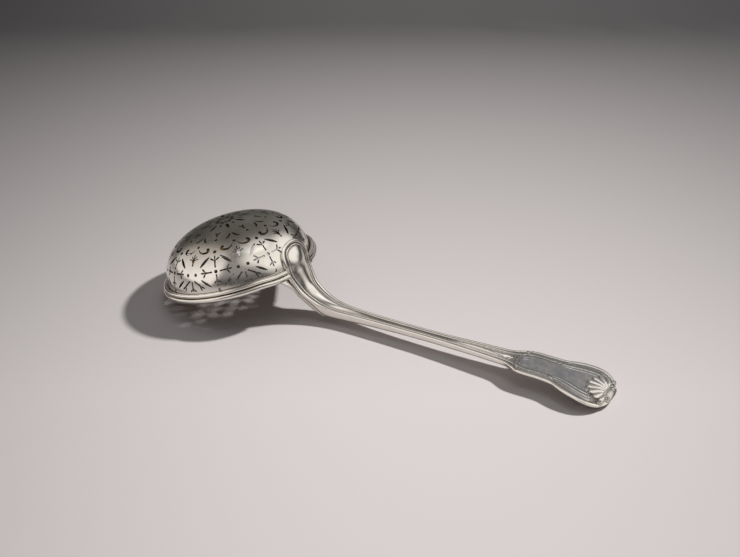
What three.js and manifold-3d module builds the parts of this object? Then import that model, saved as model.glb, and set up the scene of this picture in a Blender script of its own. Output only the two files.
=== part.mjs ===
// Sifter spoon, silver: a round pierced bowl with a reeded rim on a long threaded handle.
// Millimetres, +Z up, lying mouth down as it is put on a table.
// The origin is the middle of its bounding box on the table, +X runs from the bowl to the handle's tip.
import * as THREE from 'three';
import { mergeGeometries, mergeVertices } from 'three/addons/utils/BufferGeometryUtils.js';
import Module from 'manifold-3d';

const wasm = await Module();
wasm.setup();

// Bowl, in its own frame: the mouth is the plane z = 0 and the crown is up.
const WALL_RADIUS = 31.3;
const BOWL_DEPTH = 21.8;
const BOWL_FULLNESS = 2.24;
const MOUTH_BAND = 1.5;
const WALL = 1.0;
const BOWL_TILT = THREE.MathUtils.degToRad(17.4);
const BOWL_SEGMENTS = 36;
const BOWL_RINGS = 8;

// Rim wires: a thin upper bead and a fuller lower bead round the outside of the mouth.
const RIM_RADIUS = 34.0;
const LOWER_BEAD_HEIGHT = 2.1;
const UPPER_BEAD_BOTTOM = 2.35;
const UPPER_BEAD_TOP = 3.8;
const UPPER_BEAD_PROUD = 2.3;
const BEAD_ROUNDING = 0.9;

// The gap that stands for solder between two pieces.
const JOINT_GAP = 0.28;

// Pierced pattern: eight repeats, placed by the arc down the dome from the crown.
const REPEATS = 8;
const ROSETTE_ARC = 33.3;
const SCROLL_ARC = 23.0;
const STAR_ARC = 19.3;
const CROWN_ARC = 14.2;
const SEED_ARC = 9.0;
const CROWN_HOLE = 1.0;

// Handle: plate thicknesses, and the two threads that run along its edges.
const TONGUE_PLATE = 1.25;
const TONGUE_CROWN = 1.5;
const TONGUE_WIDEST = 8.3;
const STEM_CROWN = 0.35;
const THREAD_DEPTH = 0.3;
const THREAD_ROUNDING = 0.25;
const OUTER_THREAD = 1.05;
const INNER_THREAD = 0.75;
const TOP_CHAMFER = [0.3, 0.35];
const BACK_CHAMFER = [0.45, 0.4];

// The tongue lies on the dome over these angles, then the line is free: distance and height of the edge.
const TONGUE_ANGLES = [0.53, 0.38, 0.22, 0.09];
const LINE_MARKS = [[33.9, 13.4], [36.2, 10.7], [39.2, 8.8], [43.0, 7.2], [48.0, 6.15], [56.0, 5.85],
  [75.0, 6.0], [95.0, 6.3], [112.0, 6.6], [126.0, 6.7], [140.0, 6.75], [150.0, 6.2],
  [158.0, 5.1], [163.5, 3.4], [167.7, 1.35]];
const LINE_STEPS = 900;

// How far the handle reaches below the tops of its edges, against the same distance.
const THICKNESS_MARKS = [[34, 2.7], [44, 3.9], [54, 3.4], [69, 2.85], [80, 2.65], [100, 2.55], [116, 2.3],
  [136, 1.9]];

// Half width of the handle against the distance from the mouth's centre along the spoon.
const OUTLINE_MARKS = [[24.9, 0.0], [25.3, 3.6], [26.3, 6.2], [27.8, 7.8], [29.5, TONGUE_WIDEST],
  [31.2, 8.0], [33.4, 6.7], [36.5, 5.5], [41.0, 4.6], [47.0, 4.0], [56.0, 3.4], [70.0, 2.95],
  [88.0, 2.8], [100.0, 3.1], [112.0, 3.8], [121.0, 4.4], [125.0, 4.9], [127.5, 6.0],
  [130.5, 7.5], [134.0, 8.2], [141.0, 8.25], [145.5, 8.6], [148.5, 9.7], [152.5, 11.1],
  [158.0, 12.0], [162.0, 11.5], [165.0, 9.4], [166.8, 6.2], [167.5, 3.0], [167.7, 0.0]];
const ROOT_BEND = [29.0, 56.0];
const ROOT_STEP = 1.3;

// Shell on the handle's end: ribs spread from a hub near the tip back towards the bowl.
const SHELL_HUB = 165.6;
const SHELL_REACH = 8.9;
const SHELL_RIBS = 9;
const SHELL_SPREAD = THREE.MathUtils.degToRad(82);
const RIB_WIDTH = 2.4;
const RIB_HEIGHT = 0.9;
const RIB_SINK = 0.4;
const RIB_STEPS = 5;
const HUB_RADIUS = 1.5;
const VOLUTE_RADIUS = 1.25;
const VOLUTE_PLACE = [166.0, 3.9];

// Strap under the root: from the mouth to where it dies out, and the seam between it and the tongue.
const STRAP_START = 30.9;
const STRAP_END = 44.6;
const STRAP_STEPS = 12;
const STRAP_FLARE = 2.0;
const STRAP_FLARE_LENGTH = 2.5;
const STRAP_SETBACK = 0.2;
const STRAP_THINNEST = 0.2;
const SEAM_START = 37.0;
const SEAM_END = 46.5;
const SEAM_PLATE = 1.5;

// Where the mouth's centre lies in the box's frame; the rim and the tip are worn flat on the table.
const RIM_ROUNDING = 0.24;
const WORN_FLAT = 0.1;
const MOUTH_X = -67.28;
const MOUTH_Z = RIM_RADIUS * Math.sin(BOWL_TILT) - RIM_ROUNDING - WORN_FLAT;

function silver(color, roughness) {
  return new THREE.MeshStandardMaterial({ color, roughness, metalness: 1.0 });
}

function toSolid(geometry) {
  const bare = geometry.clone();
  bare.deleteAttribute('normal');
  bare.deleteAttribute('uv');
  const merged = mergeVertices(bare.index ? bare.toNonIndexed() : bare, 1e-4);
  return new wasm.Manifold(new wasm.Mesh({
    numProp: 3,
    vertProperties: new Float32Array(merged.attributes.position.array),
    triVerts: new Uint32Array(merged.index.array),
  }));
}

function toGeometry(solid) {
  const mesh = solid.getMesh();
  const geometry = new THREE.BufferGeometry();
  geometry.setAttribute('position', new THREE.BufferAttribute(mesh.vertProperties, 3));
  geometry.setIndex(new THREE.BufferAttribute(mesh.triVerts, 1));
  geometry.computeVertexNormals();
  return geometry;
}

function blend(x, from, to) {
  return THREE.MathUtils.smoothstep(x, from, to);
}

// The outside of the dome at an angle up its curve: radius and height in the bowl's frame.
function domePoint(angle, inset = 0) {
  const power = 2 / BOWL_FULLNESS;
  return new THREE.Vector2(
    (WALL_RADIUS - inset) * Math.cos(angle) ** power,
    MOUTH_BAND + (BOWL_DEPTH - inset) * Math.sin(angle) ** power,
  );
}

// The dome as a list of points from the crown down, with the arc length to each.
function domeRun(steps = 400) {
  const run = [];
  let arc = 0;
  for (let i = 0; i <= steps; i += 1) {
    const point = domePoint(Math.PI / 2 * (1 - i / steps));
    if (i > 0) arc += point.distanceTo(run[i - 1].point);
    run.push({ point, arc });
  }
  return run;
}
const DOME_RUN = domeRun();

// A place on the outside of the dome and the frame of axes that stands on it there.
function domeFrame(arc, turn) {
  const i = Math.min(DOME_RUN.length - 2, DOME_RUN.findIndex((step) => step.arc >= arc));
  const [a, b] = [DOME_RUN[i].point, DOME_RUN[i + 1].point];
  const slope = new THREE.Vector2().subVectors(a, b).normalize();
  const [c, s] = [Math.cos(turn), Math.sin(turn)];
  const along = new THREE.Vector3(-s, c, 0);
  const up = new THREE.Vector3(slope.x * c, slope.x * s, slope.y);
  const out = new THREE.Vector3(slope.y * c, slope.y * s, -slope.x);
  const place = new THREE.Matrix4().makeBasis(along, up, out);
  return place.setPosition(a.x * c, a.x * s, a.y);
}

function bowlShell() {
  const profile = [];
  for (let i = 0; i <= BOWL_RINGS; i += 1) {
    profile.push(domePoint(Math.PI / 2 * (1 - i / BOWL_RINGS)));
  }
  profile[0].x = 0;
  profile.push(new THREE.Vector2(WALL_RADIUS, 0));
  profile.push(new THREE.Vector2(WALL_RADIUS - WALL, 0));
  for (let i = BOWL_RINGS; i >= 0; i -= 1) {
    profile.push(domePoint(Math.PI / 2 * (1 - i / BOWL_RINGS), WALL));
  }
  profile[profile.length - 1].x = 0;
  return new THREE.LatheGeometry(profile.reverse(), BOWL_SEGMENTS).rotateX(Math.PI / 2);
}

// Cut shapes of the pattern: x runs round the bowl and y towards the crown.
function dot(x, y, radius) {
  const corners = 5;
  const shape = [];
  for (let i = 0; i < corners; i += 1) {
    const angle = Math.PI * (0.5 + 2 * i / corners);
    shape.push([x + radius * Math.cos(angle), y + radius * Math.sin(angle)]);
  }
  return shape;
}

function leaf(x0, y0, x1, y1, width) {
  const length = Math.hypot(x1 - x0, y1 - y0);
  const [nx, ny] = [-(y1 - y0) / length * width / 2, (x1 - x0) / length * width / 2];
  const [mx, my] = [(x0 + x1) / 2, (y0 + y1) / 2];
  return [[x0, y0], [mx - nx, my - ny], [x1, y1], [mx + nx, my + ny]];
}

// A forked sprig that grows from (x, y) in a direction given in radians.
function sprig(x, y, direction, length, spread) {
  const outline = [[0, 0], [length * 0.9, -spread], [length * 0.6, 0], [length * 0.9, spread]];
  const [c, s] = [Math.cos(direction), Math.sin(direction)];
  return outline.map(([u, v]) => [x + u * c - v * s, y + u * s + v * c]);
}

// A scroll like a comma: a round end at (x0, y0) and a tail that thins out to (x1, y1).
function comma(x0, y0, x1, y1, sag) {
  const half = 0.6;
  const [mx, my] = [(x0 + x1) / 2, (y0 + y1) / 2 - sag];
  const outline = [[x0, y0 - half], [mx, my - 0.5], [x1, y1], [mx, my + 0.4], [x0, y0 + half]];
  return x1 > x0 ? outline : outline.reverse();
}

function rosetteTop() {
  const cuts = [sprig(0, 3.6, Math.PI / 2, 4.6, 1.9)];
  for (const side of [-1, 1]) {
    cuts.push(leaf(side * 4.3, 3.2, side * 7.6, 7.6, 1.3));
  }
  return cuts;
}

function rosetteFoot() {
  const cuts = [dot(-2.1, 0, 0.7), dot(2.1, 0, 0.7), sprig(0, -2.8, -Math.PI / 2, 3.7, 1.1)];
  for (const side of [-1, 1]) {
    cuts.push(leaf(side * 5.0, -2.0, side * 8.8, -4.7, 1.2));
    cuts.push(sprig(side * 1.9, -2.7, -Math.PI / 2 + side * 0.95, 4.6, 1.0));
  }
  return cuts;
}

function cross() {
  const cuts = [dot(0, 0, 0.8), dot(0, -7.2, 0.55)];
  cuts.push(sprig(0, 1.6, Math.PI / 2, 4.7, 1.9));
  cuts.push(sprig(0, -1.4, -Math.PI / 2, 3.8, 1.5));
  cuts.push(sprig(1.9, 0, 0, 4.2, 1.6));
  cuts.push(sprig(-1.9, 0, Math.PI, 4.2, 1.6));
  return cuts;
}

function scrolls() {
  return [dot(0, 0, 0.85), comma(-2.6, 1.7, -6.6, 2.6, 1.9), comma(2.6, 1.7, 6.6, 2.6, 1.9)];
}

function star() {
  return [dot(0, -1.9, 0.6), sprig(0, 0, Math.PI / 2, 3.4, 1.6)];
}

function crownSprig() {
  return [sprig(0, 0, Math.PI / 2, 3.6, 1.3), dot(0, -2.0, 0.6)];
}

function seedAndLeaf() {
  return [leaf(0, -1.8, 0, 1.6, 1.1), dot(0, 3.4, 0.5)];
}

// Every motif of the pattern with its place: arc from the crown and turn round the bowl.
// The foot of the rosette that the tongue covers isn't cut.
function patternPlaces() {
  const places = [];
  const step = 2 * Math.PI / REPEATS;
  for (let k = 0; k < REPEATS; k += 1) {
    const [onRosette, between] = [k * step, (k + 0.5) * step];
    places.push({ cuts: rosetteTop(), arc: ROSETTE_ARC, turn: onRosette });
    if (k > 0) places.push({ cuts: rosetteFoot(), arc: ROSETTE_ARC, turn: onRosette });
    places.push({ cuts: cross(), arc: ROSETTE_ARC, turn: between });
    places.push({ cuts: scrolls(), arc: SCROLL_ARC, turn: between });
    places.push({ cuts: star(), arc: STAR_ARC, turn: onRosette });
    places.push({ cuts: crownSprig(), arc: CROWN_ARC, turn: between });
    places.push({ cuts: seedAndLeaf(), arc: SEED_ARC, turn: onRosette });
  }
  places.push({ cuts: [dot(0, 0, CROWN_HOLE)], arc: 0, turn: Math.PI });
  return places;
}

function cutter(outline, place) {
  const shape = new THREE.Shape(outline.map(([x, y]) => new THREE.Vector2(x, y)));
  const blade = new THREE.ExtrudeGeometry(shape, { depth: 4 * WALL, bevelEnabled: false });
  blade.translate(0, 0, -3 * WALL);
  return blade.applyMatrix4(place);
}

function piercedBowl() {
  const blades = [];
  for (const { cuts, arc, turn } of patternPlaces()) {
    const place = domeFrame(arc, turn);
    for (const outline of cuts) blades.push(cutter(outline, place));
  }
  return toGeometry(toSolid(bowlShell()).subtract(toSolid(mergeGeometries(blades))));
}

function bowlPlace() {
  const turn = new THREE.Matrix4().makeRotationY(-BOWL_TILT);
  return turn.setPosition(MOUTH_X, 0, MOUTH_Z);
}

// A point of the bowl's middle plane, given as radius and height, in the spoon's frame.
function inSpoon(radius, height) {
  const point = new THREE.Vector3(radius, 0, height).applyMatrix4(bowlPlace());
  return new THREE.Vector2(point.x, point.z);
}

// The room that the bowl takes, with the joint's gap round it, as a solid in the spoon's frame.
function bowlRoom() {
  const rings = BOWL_RINGS * 2;
  const profile = [new THREE.Vector2(0, -JOINT_GAP), new THREE.Vector2(WALL_RADIUS + JOINT_GAP, -JOINT_GAP)];
  for (let i = 0; i <= rings; i += 1) {
    profile.push(domePoint(Math.PI / 2 * i / rings, -JOINT_GAP));
  }
  profile[profile.length - 1].x = 0;
  const room = new THREE.LatheGeometry(profile, BOWL_SEGMENTS).rotateX(Math.PI / 2);
  return toSolid(room.applyMatrix4(bowlPlace()));
}

// The room of the mouth and its wires, which the strap butts against from below.
function mouthRoom() {
  const height = 8;
  const radius = RIM_RADIUS + 1;
  const disc = new THREE.CylinderGeometry(radius, radius, height, BOWL_SEGMENTS * 2);
  disc.rotateX(Math.PI / 2).translate(0, 0, height / 2 - JOINT_GAP);
  return toSolid(disc.applyMatrix4(bowlPlace()));
}

// Everything below the table's top, which wears a small flat on what rests there.
function tableRoom() {
  const [length, width, depth] = [300, 100, 10];
  return new THREE.BoxGeometry(length, width, depth).translate(0, 0, -depth / 2);
}

// A bead's section as radius and height: flat against the wall, round outside.
function beadSection(bottom, top, outer, steps) {
  const inner = WALL_RADIUS + JOINT_GAP;
  const flatEnd = outer - BEAD_ROUNDING;
  const section = [[inner, bottom], [flatEnd, bottom]];
  for (let i = 1; i < steps; i += 1) {
    const angle = Math.PI * (i / steps - 0.5);
    const height = (bottom + top) / 2 + (top - bottom) / 2 * Math.sin(angle);
    section.push([flatEnd + BEAD_ROUNDING * Math.cos(angle), height]);
  }
  section.push([flatEnd, top], [inner, top]);
  return section;
}

// A wire round the mouth, cut away where the handle's tongue lies and worn flat at its lowest point.
function rimWire(section) {
  const closed = [...section, section[0]].map(([radius, height]) => new THREE.Vector2(radius, height));
  const ring = toSolid(new THREE.LatheGeometry(closed, BOWL_SEGMENTS * 2).rotateX(Math.PI / 2));
  const gapHalf = TONGUE_WIDEST + JOINT_GAP;
  const block = new THREE.BoxGeometry(RIM_RADIUS, 2 * gapHalf, RIM_RADIUS).translate(RIM_RADIUS, 0, 0);
  const table = tableRoom().applyMatrix4(bowlPlace().invert());
  return toGeometry(ring.subtract(toSolid(block)).subtract(toSolid(table)));
}

// The handle's middle line along the tops of its edges, from the tongue's end to the tip.
function handleLine() {
  const points = [];
  for (const angle of TONGUE_ANGLES) {
    const seat = domePoint(angle);
    const lean = domePoint(angle + 0.02).sub(domePoint(angle - 0.02)).normalize();
    points.push(inSpoon(seat.x + lean.y * TONGUE_PLATE, seat.y - lean.x * TONGUE_PLATE));
  }
  points.push(inSpoon(WALL_RADIUS + TONGUE_PLATE, 0));
  for (const [x, z] of LINE_MARKS) points.push(new THREE.Vector2(MOUTH_X + x, z));
  return new THREE.SplineCurve(points);
}
const LINE_RUN = handleLine().getSpacedPoints(LINE_STEPS);

// The handle's frame at a place along the spoon: the middle point and the way up out of its face.
function lineAt(x) {
  const i = THREE.MathUtils.clamp(LINE_RUN.findIndex((point) => point.x - MOUTH_X >= x), 1, LINE_STEPS - 1);
  const way = new THREE.Vector2().subVectors(LINE_RUN[i + 1], LINE_RUN[i - 1]).normalize();
  return { point: LINE_RUN[i], up: new THREE.Vector2(-way.y, way.x) };
}

// The outline with more points where the root bends.
function outlineRun() {
  const run = [];
  OUTLINE_MARKS.forEach(([x, w], i) => {
    const [next, wide] = OUTLINE_MARKS[i + 1] ?? [x, w];
    const bends = x > ROOT_BEND[0] && x < ROOT_BEND[1];
    const parts = bends ? Math.ceil((next - x) / ROOT_STEP) : 1;
    for (let k = 0; k < parts; k += 1) {
      run.push([x + (next - x) * k / parts, w + (wide - w) * k / parts]);
    }
  });
  return run;
}
const OUTLINE = outlineRun();

// Half the handle's width at a place along the spoon.
function halfWidth(x) {
  const i = THREE.MathUtils.clamp(OUTLINE.findIndex((step) => step[0] >= x), 1, OUTLINE.length - 1);
  const [[x0, w0], [x1, w1]] = [OUTLINE[i - 1], OUTLINE[i]];
  return THREE.MathUtils.lerp(w0, w1, (x - x0) / (x1 - x0));
}

// The whole thickness, smooth between its marks and level beyond the first and the last.
function fullThickness(x) {
  const next = THICKNESS_MARKS.findIndex(([at]) => at >= x);
  if (next < 1) return THICKNESS_MARKS.at(next)[1];
  const [[x0, t0], [x1, t1]] = [THICKNESS_MARKS[next - 1], THICKNESS_MARKS[next]];
  return THREE.MathUtils.lerp(t0, t1, blend(x, x0, x1));
}

// The same for the layer above the strap, which becomes the whole thickness where the seam ends.
function layerThickness(x) {
  const layer = THREE.MathUtils.lerp(TONGUE_PLATE + 0.5, SEAM_PLATE, blend(x, 29, 34));
  return THREE.MathUtils.lerp(layer, fullThickness(x), blend(x, SEAM_START, SEAM_END));
}

// How far the middle of the top face stands above its sunk field.
function crownHeight(x) {
  const tongue = TONGUE_CROWN * blend(x, 25, 29) * (1 - blend(x, 44, 70));
  return tongue + STEM_CROWN * blend(x, 44, 60) * (1 - blend(x, 118, 130));
}

// A point of the handle: place along it, distance to the side, and height over its edge line.
function handlePoint(x, y, height) {
  const { point, up } = lineAt(x);
  const wrap = (1 - blend(x, 31, 38)) * y * y / (2 * (WALL_RADIUS + TONGUE_PLATE));
  const lift = height - wrap;
  return new THREE.Vector3(point.x + up.x * lift, y, point.y + up.y * lift);
}

// The outline moved inwards by a distance, as points of the right half from end to end.
function insetOutline(inset) {
  const last = OUTLINE.length - 1;
  const narrowest = 0.3;
  return OUTLINE.map(([x, w], i) => {
    if (i === 0) return [x + inset, 0];
    if (i === last) return [x - inset, 0];
    const [before, after] = [OUTLINE[i - 1], OUTLINE[i + 1]];
    const way = new THREE.Vector2(after[0] - before[0], after[1] - before[1]).normalize();
    return [x + way.y * inset, Math.max(w - way.x * inset, narrowest)];
  });
}

// Rings from the top face's inner edge over the two threads, round the edge and under to the back.
function handleRings() {
  const field = OUTER_THREAD + INNER_THREAD;
  const top = [[field, -THREAD_DEPTH], [field - THREAD_ROUNDING, -0.05],
    [OUTER_THREAD + THREAD_ROUNDING, -0.05], [OUTER_THREAD, -THREAD_DEPTH],
    [OUTER_THREAD - THREAD_ROUNDING, 0], [TOP_CHAMFER[0], 0], [0, -TOP_CHAMFER[1]]];
  const rings = top.map(([inset, height]) => insetOutline(inset).map(([x, y]) => handlePoint(x, y, height)));
  for (const [inset, lift] of [[0, BACK_CHAMFER[1]], [BACK_CHAMFER[0], 0]]) {
    rings.push(insetOutline(inset).map(([x, y]) => handlePoint(x, y, lift - layerThickness(x))));
  }
  return rings;
}

// A closed body from half rings: strips between rings, and a face with a middle row at each end.
function bodyFromRings(rings, frontRow, backRow) {
  const corners = [];
  const quad = (a, b, c, d) => corners.push(a, b, c, a, c, d);
  const mirror = (p) => new THREE.Vector3(p.x, -p.y, p.z);
  for (let k = 0; k + 1 < rings.length; k += 1) {
    for (let i = 0; i + 1 < rings[k].length; i += 1) {
      const [a, b, c, d] = [rings[k][i], rings[k][i + 1], rings[k + 1][i + 1], rings[k + 1][i]];
      quad(a, b, c, d);
      quad(mirror(a), mirror(d), mirror(c), mirror(b));
    }
  }
  const cap = (ring, row, flip) => {
    for (let i = 0; i + 1 < ring.length; i += 1) {
      const corner = [ring[i], ring[i + 1], row[i + 1], row[i]];
      const twin = corner.map(mirror);
      const [near, far] = flip ? [corner.reverse(), twin] : [corner, twin.reverse()];
      quad(...near);
      quad(...far);
    }
  };
  cap(rings[0], frontRow, true);
  cap(rings[rings.length - 1], backRow, false);
  return toSolid(new THREE.BufferGeometry().setFromPoints(corners));
}

// A closed body from rows that run side by side round it, each row from one end to the other.
function bodyFromRows(rows) {
  const corners = [];
  const count = rows.length;
  const last = rows[0].length - 1;
  for (let k = 0; k < count; k += 1) {
    const [row, next] = [rows[k], rows[(k + 1) % count]];
    for (let i = 0; i < last; i += 1) {
      corners.push(row[i], next[i + 1], row[i + 1], row[i], next[i], next[i + 1]);
    }
    if (k > 0 && k + 1 < count) {
      corners.push(rows[0][0], rows[k + 1][0], rows[k][0]);
      corners.push(rows[0][last], rows[k][last], rows[k + 1][last]);
    }
  }
  return toSolid(new THREE.BufferGeometry().setFromPoints(corners));
}

// One rib of the shell: a low ridge from near the hub to its round outer end, sunk into the face.
function shellRib(turn) {
  const way = [-Math.cos(turn), Math.sin(turn)];
  const reach = SHELL_REACH * (0.74 + 0.26 * Math.cos(turn));
  const stations = [];
  for (let i = 0; i <= RIB_STEPS; i += 1) {
    const share = i / RIB_STEPS;
    const swell = Math.sin(Math.PI * (0.12 + 0.8 * share ** 1.4));
    const half = RIB_WIDTH / 2 * swell * (0.35 + 0.65 * share);
    stations.push({ out: reach * (0.1 + 0.9 * share), half, high: RIB_HEIGHT * swell });
  }
  const row = (side, lift) => stations.map(({ out, half, high }) => handlePoint(
    SHELL_HUB + way[0] * out - way[1] * side * half,
    way[1] * out + way[0] * side * half,
    lift * high - THREAD_DEPTH - (lift > 0 ? 0 : RIB_SINK),
  ));
  return bodyFromRows([row(1, 0), row(0.55, 0.8), row(-0.55, 0.8), row(-1, 0)]);
}

// A small round boss on the face: the shell's hub, or the roll where the border thread ends beside it.
function boss(x, y, radius) {
  const mound = new THREE.SphereGeometry(radius, 10, 6);
  const seat = handlePoint(x, y, -THREAD_DEPTH);
  return toSolid(mound.scale(1, 1, 0.5).translate(seat.x, seat.y, seat.z));
}

function handle() {
  const rings = handleRings();
  const field = insetOutline(OUTER_THREAD + INNER_THREAD);
  const back = insetOutline(BACK_CHAMFER[0]);
  const last = OUTLINE.length - 1;
  const isEnd = (i) => i === 0 || i === last;
  const front = field.map(([x], i) => (
    isEnd(i) ? rings[0][i] : handlePoint(x, 0, crownHeight(x) - THREAD_DEPTH)));
  const under = back.map(([x], i) => (
    isEnd(i) ? rings[rings.length - 1][i] : handlePoint(x, 0, -layerThickness(x))));
  let body = bodyFromRings(rings, front, under).subtract(bowlRoom());
  for (let i = 0; i < SHELL_RIBS; i += 1) {
    body = body.add(shellRib(SHELL_SPREAD * (2 * i / (SHELL_RIBS - 1) - 1)));
  }
  body = body.add(boss(SHELL_HUB, 0, HUB_RADIUS));
  for (const side of [-1, 1]) {
    body = body.add(boss(VOLUTE_PLACE[0], side * VOLUTE_PLACE[1], VOLUTE_RADIUS));
  }
  return toGeometry(body.subtract(toSolid(tableRoom())));
}

// The strap under the root of the handle: a wedge that springs from the mouth and dies out at the bend.
function strap() {
  const stations = [];
  for (let i = 0; i <= STRAP_STEPS; i += 1) {
    stations.push(THREE.MathUtils.lerp(STRAP_START, STRAP_END, i / STRAP_STEPS));
  }
  const flare = (x) => STRAP_FLARE * (1 - blend(x, STRAP_START, STRAP_START + STRAP_FLARE_LENGTH));
  const halfAt = (x) => halfWidth(x) + flare(x) - STRAP_SETBACK;
  const row = (side, depth) => stations.map((x) => handlePoint(x, side * halfAt(x), -depth(x)));
  const upper = (x) => layerThickness(x) + JOINT_GAP;
  const lower = (x) => Math.max(fullThickness(x), upper(x) + STRAP_THINNEST);
  const above = [row(1, upper), row(0, upper), row(-1, upper)];
  const below = [row(-1, lower), row(0, lower), row(1, lower)];
  return toGeometry(bodyFromRows([...above, ...below]).subtract(mouthRoom()));
}

const rootGroup = new THREE.Group();
const bowlGroup = new THREE.Group();
bowlGroup.position.set(MOUTH_X, 0, MOUTH_Z);
bowlGroup.rotation.y = -BOWL_TILT;
rootGroup.add(bowlGroup);

function addPiece(group, name, geometry, material) {
  const mesh = new THREE.Mesh(geometry, material);
  mesh.name = name;
  group.add(mesh);
}

const lowerBead = beadSection(0, LOWER_BEAD_HEIGHT, RIM_RADIUS, 5);
const upperBead = beadSection(UPPER_BEAD_BOTTOM, UPPER_BEAD_TOP, WALL_RADIUS + UPPER_BEAD_PROUD, 4);
addPiece(bowlGroup, 'pierced_bowl', piercedBowl(), silver(0xc9c5bd, 0.28));
addPiece(bowlGroup, 'rim_bead_lower', rimWire(lowerBead), silver(0xd3cfc6, 0.24));
addPiece(bowlGroup, 'rim_bead_upper', rimWire(upperBead), silver(0xd3cfc6, 0.24));
addPiece(rootGroup, 'handle', handle(), silver(0xd0ccc4, 0.26));
addPiece(rootGroup, 'root_strap', strap(), silver(0xcdc8bf, 0.27));

export default rootGroup;
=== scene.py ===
# %% [markdown]
# # Sifter spoon
# A silver sifter spoon lies mouth down on a pale table. The round bowl is raised from sheet and pierced
# with a saw, two wires run round its mouth, and the long handle is one forging with a shell at its end.
# The CAD model is loaded first, because every piece below is made to its box and its origin.

# %% Frame
import math

import bpy
import numpy as np
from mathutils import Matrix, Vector


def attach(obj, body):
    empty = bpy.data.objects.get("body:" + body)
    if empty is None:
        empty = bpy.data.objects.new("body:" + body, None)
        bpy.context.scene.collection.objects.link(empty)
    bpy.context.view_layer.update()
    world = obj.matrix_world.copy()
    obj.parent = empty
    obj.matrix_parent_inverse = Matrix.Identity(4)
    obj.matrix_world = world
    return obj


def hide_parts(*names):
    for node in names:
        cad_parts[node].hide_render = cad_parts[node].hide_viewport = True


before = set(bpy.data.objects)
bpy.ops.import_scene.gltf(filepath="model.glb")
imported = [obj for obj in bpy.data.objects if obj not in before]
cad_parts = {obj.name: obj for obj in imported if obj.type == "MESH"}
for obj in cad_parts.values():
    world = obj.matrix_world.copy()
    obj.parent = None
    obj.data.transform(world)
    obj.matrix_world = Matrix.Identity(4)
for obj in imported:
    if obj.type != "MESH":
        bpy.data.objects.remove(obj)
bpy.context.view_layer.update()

# %% [markdown]
# All sizes are in millimetres until a mesh is written. The bowl leans back on its rim, so it has its own
# frame, with the mouth in the plane z = 0. The handle follows one line, so it has a third frame:
# a place along the line, a distance to the side and a height over the line.

# %% Shared measures and helpers
MM = 0.001
TILT = math.radians(17.4)
WALL_RADIUS = 31.2
BOWL_DEPTH = 21.9
BOWL_FULLNESS = 2.4
MOUTH_BAND = 1.5
WALL = 1.0
RIM_RADIUS = 34.0
MOUTH_X = -67.28
MOUTH_Z = RIM_RADIUS * math.sin(TILT) - 0.34
TONGUE_PLATE = 1.25


def smooth(x, start, end):
    """A soft step from 0 at the start to 1 at the end."""
    t = np.clip((np.asarray(x, float) - start) / (end - start), 0, 1)
    return t * t * (3 - 2 * t)


def from_bowl(points):
    """Points of the bowl's own frame, tipped back and moved to their place in the spoon."""
    x, y, z = np.asarray(points, float).T
    cos, sin = math.cos(TILT), math.sin(TILT)
    return np.stack([x * cos - z * sin + MOUTH_X, y, x * sin + z * cos + MOUTH_Z], axis=1)


def spline(marks, steps):
    """A Catmull-Rom curve through the marks, as points."""
    marks = np.asarray(marks, float)
    ends = np.vstack([marks[0], marks, marks[-1]])
    out = []
    for a, b, c, d in zip(ends, ends[1:], ends[2:], ends[3:]):
        t = np.linspace(0, 1, steps, endpoint=False)[:, None]
        out.append(0.5 * (2 * b + (c - a) * t + (2 * a - 5 * b + 4 * c - d) * t ** 2
                          + (3 * b - a - 3 * c + d) * t ** 3))
    return np.vstack(out + [marks[-1:]])


def run_length(points):
    """The distance run along a line of points, up to each of them."""
    return np.concatenate([[0], np.cumsum(np.linalg.norm(np.diff(points, axis=0), axis=1))])


def mark_points(mesh, label, amounts):
    """One number per point, which a material reads by its label."""
    mesh.attributes.new(label, "FLOAT", "POINT").data.foreach_set("value", np.asarray(amounts, float))


def points_of(mesh):
    flat = np.empty(len(mesh.vertices) * 3)
    mesh.vertices.foreach_get("co", flat)
    return flat.reshape(-1, 3)


def show(name, data):
    thing = bpy.data.objects.new(name, data)
    bpy.context.scene.collection.objects.link(thing)
    return thing


def make_piece(name, points, faces, material, sharp=50, **marks):
    """A mesh piece from points in mm in the spoon's frame, smooth except at edges over an angle."""
    mesh = bpy.data.meshes.new(name)
    mesh.from_pydata((points * MM).tolist(), [], faces)
    mesh.materials.append(material)
    for label, amounts in marks.items():
        mark_points(mesh, label, amounts)
    mesh.update()
    mesh.set_sharp_from_angle(angle=math.radians(sharp))
    print(f"{name}: {len(mesh.vertices)} points, {len(mesh.polygons)} faces")
    return show(name, mesh)


# %% [markdown]
# The view is fitted to the photo: a lens of 63 mm looks down at about 30 degrees from the near right. It is
# placed before anything is made, so that every piece can be looked at from there as soon as it stands.

# %% Camera
CAMERA_TURN = math.radians(29.732)
CAMERA_RISE = math.radians(29.482)
CAMERA_AIM = Vector((-24.67, 36.23, 0)) * MM
CAMERA_DISTANCE = 565.84 * MM
camera = show("camera", bpy.data.cameras.new("camera"))
towards = Vector((math.cos(CAMERA_RISE) * math.sin(CAMERA_TURN),
                  -math.cos(CAMERA_RISE) * math.cos(CAMERA_TURN), math.sin(CAMERA_RISE)))
camera.location = CAMERA_AIM + towards * CAMERA_DISTANCE
camera.rotation_euler = (math.pi / 2 - CAMERA_RISE, 0, CAMERA_TURN)
camera.data.lens = 63.0
camera.data.sensor_width = 36.0
camera.data.clip_start = 0.01
bpy.context.scene.camera = camera
bpy.context.scene.view_settings.view_transform = "Standard"
print("camera at", [round(v, 3) for v in camera.location])

# %% [markdown]
# Old silver is bright metal with three signs of use: fine scratches that run two ways, cloudy patches where
# polish has worn, and grey-brown tarnish that stays in every groove. Each mesh tells the material where it is
# tarnished or dull by two numbers per point, so the same material fits the bowl, the wires and the handle.
# The weaver below adds the nodes of a tree. Materials, the room and Geometry Nodes all use it.

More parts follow.
